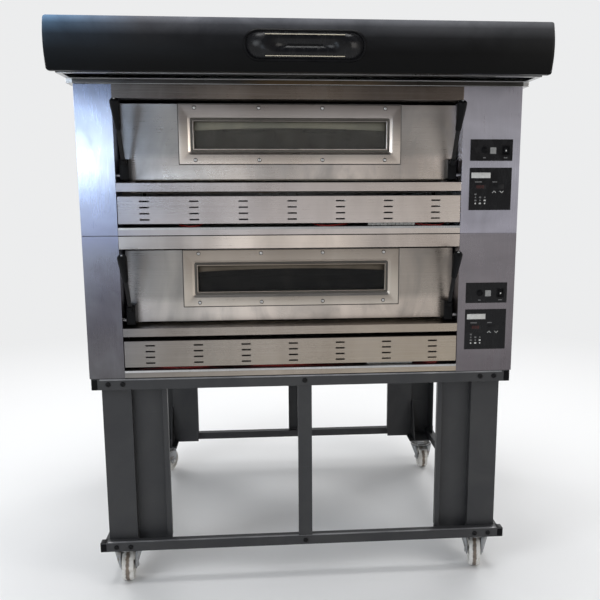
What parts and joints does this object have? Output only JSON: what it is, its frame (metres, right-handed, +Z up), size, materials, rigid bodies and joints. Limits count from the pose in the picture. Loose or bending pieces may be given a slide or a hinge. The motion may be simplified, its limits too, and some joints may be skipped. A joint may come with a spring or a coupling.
{
  "type": "deck pizza oven",
  "caption": "Two-deck electric stone-hearth pizza oven in stainless steel with lever-opened windowed doors, slotted vent panels, black curved extraction hood and a castor stand.",
  "frame": {"origin": "on the floor under the middle of the object's box", "axes": "+Z up, the doors and controls face -Y, the controls are on the +X side"},
  "size_m": [1.436, 1.259, 1.8423],
  "materials": {
    "stainless": "brushed, handled",
    "liner_steel": "heat-browned sheet",
    "stand_paint": "satin textured",
    "black_paint": "satin",
    "black_plastic": "matt",
    "black_gloss": "gloss",
    "hearth_stone": "rough, baked",
    "element_sheath": "oxidised",
    "door_glass": "heat-resistant pane",
    "zinc_plate": "bright zinc plate",
    "nylon": "worn"
  },
  "bodies": {
    "oven_body": {"stand_bottom_rail_front": "stand_paint", "stand_bottom_rail_back": "stand_paint", "stand_bottom_rail_left": "stand_paint", "stand_bottom_rail_right": "stand_paint", "stand_top_rail_front": "stand_paint", "stand_top_rail_back": "stand_paint", "stand_top_rail_left": "stand_paint", "stand_top_rail_right": "stand_paint", "stand_leg_front_left": "stand_paint", "stand_leg_front_right": "stand_paint", "stand_post_front": "stand_paint", "stand_leg_back_left": "stand_paint", "stand_leg_back_right": "stand_paint", "stand_post_back": "stand_paint", "lower_casing": "stainless", "lower_back_cover": "stainless", "lower_left_column": "stainless", "lower_right_column": "stainless", "lower_top_fascia": "stainless", "lower_door_ledge": "stainless", "lower_vent_panel": "stainless", "lower_baking_chamber": "liner_steel", "lower_stone_floor": "hearth_stone", "lower_top_element": "element_sheath", "lower_bottom_element": "element_sheath", "lower_control_panel": "black_gloss", "upper_casing": "stainless", "upper_back_cover": "stainless", "upper_left_column": "stainless", "upper_right_column": "stainless", "upper_top_fascia": "stainless", "upper_door_ledge": "stainless", "upper_vent_panel": "stainless", "upper_baking_chamber": "liner_steel", "upper_stone_floor": "hearth_stone", "upper_top_element": "element_sheath", "upper_bottom_element": "element_sheath", "upper_control_panel": "black_gloss", "hood_body": "stainless", "hood_front": "black_paint", "hood_baffle": "black_paint", "flue_collar": "stainless"},
    "lower_door": {"lower_door": "stainless", "lower_door_glass": "door_glass", "lower_door_lever_left": "black_plastic", "lower_door_lever_right": "black_plastic"},
    "lower_power_switch": {"lower_power_switch": "black_gloss"},
    "upper_door": {"upper_door": "stainless", "upper_door_glass": "door_glass", "upper_door_lever_left": "black_plastic", "upper_door_lever_right": "black_plastic"},
    "upper_power_switch": {"upper_power_switch": "black_gloss"},
    "castor_fork_front_left": {"castor_fork_front_left": "zinc_plate"},
    "castor_wheel_front_left": {"castor_wheel_front_left": "nylon"},
    "castor_fork_front_right": {"castor_fork_front_right": "zinc_plate"},
    "castor_wheel_front_right": {"castor_wheel_front_right": "nylon"},
    "castor_fork_back_left": {"castor_fork_back_left": "zinc_plate"},
    "castor_wheel_back_left": {"castor_wheel_back_left": "nylon"},
    "castor_fork_back_right": {"castor_fork_back_right": "zinc_plate"},
    "castor_wheel_back_right": {"castor_wheel_back_right": "nylon"}
  },
  "joints": [
    {"name": "lower_door_hinge", "type": "hinge", "parent": "oven_body", "child": "lower_door", "pos_m": [-0.037, -0.448, 0.9], "axis": [1, 0, 0], "range_deg": [0, 75]},
    {"name": "upper_door_hinge", "type": "hinge", "parent": "oven_body", "child": "upper_door", "pos_m": [-0.037, -0.448, 1.351], "axis": [1, 0, 0], "range_deg": [0, 75]},
    {"name": "lower_power_switch_rock", "type": "hinge", "parent": "oven_body", "child": "lower_power_switch", "pos_m": [0.634, -0.476, 0.975], "axis": [1, 0, 0], "range_deg": [0, 13]},
    {"name": "upper_power_switch_rock", "type": "hinge", "parent": "oven_body", "child": "upper_power_switch", "pos_m": [0.634, -0.476, 1.426], "axis": [1, 0, 0], "range_deg": [0, 13]},
    {"name": "swivel_front_left", "type": "hinge", "parent": "oven_body", "child": "castor_fork_front_left", "pos_m": [-0.6, -0.396, 0.1], "axis": [0, 0, 1], "continuous": true},
    {"name": "roll_front_left", "type": "hinge", "parent": "castor_fork_front_left", "child": "castor_wheel_front_left", "pos_m": [-0.59812, -0.42293, 0.05], "axis": [0.9976, 0.0698, 0], "continuous": true},
    {"name": "swivel_front_right", "type": "hinge", "parent": "oven_body", "child": "castor_fork_front_right", "pos_m": [0.6, -0.396, 0.1], "axis": [0, 0, 1], "continuous": true},
    {"name": "roll_front_right", "type": "hinge", "parent": "castor_fork_front_right", "child": "castor_wheel_front_right", "pos_m": [0.59462, -0.42246, 0.05], "axis": [0.9799, -0.1994, 0], "continuous": true},
    {"name": "swivel_back_left", "type": "hinge", "parent": "oven_body", "child": "castor_fork_back_left", "pos_m": [-0.6, 0.4795, 0.1], "axis": [0, 0, 1], "continuous": true},
    {"name": "roll_back_left", "type": "hinge", "parent": "castor_fork_back_left", "child": "castor_wheel_back_left", "pos_m": [-0.5865, 0.50288, 0.05], "axis": [-0.866, 0.5, 0], "continuous": true},
    {"name": "swivel_back_right", "type": "hinge", "parent": "oven_body", "child": "castor_fork_back_right", "pos_m": [0.6, 0.4795, 0.1], "axis": [0, 0, 1], "continuous": true},
    {"name": "roll_back_right", "type": "hinge", "parent": "castor_fork_back_right", "child": "castor_wheel_back_right", "pos_m": [0.6, 0.4525, 0.05], "axis": [1, 0, 0], "continuous": true}
  ]
}
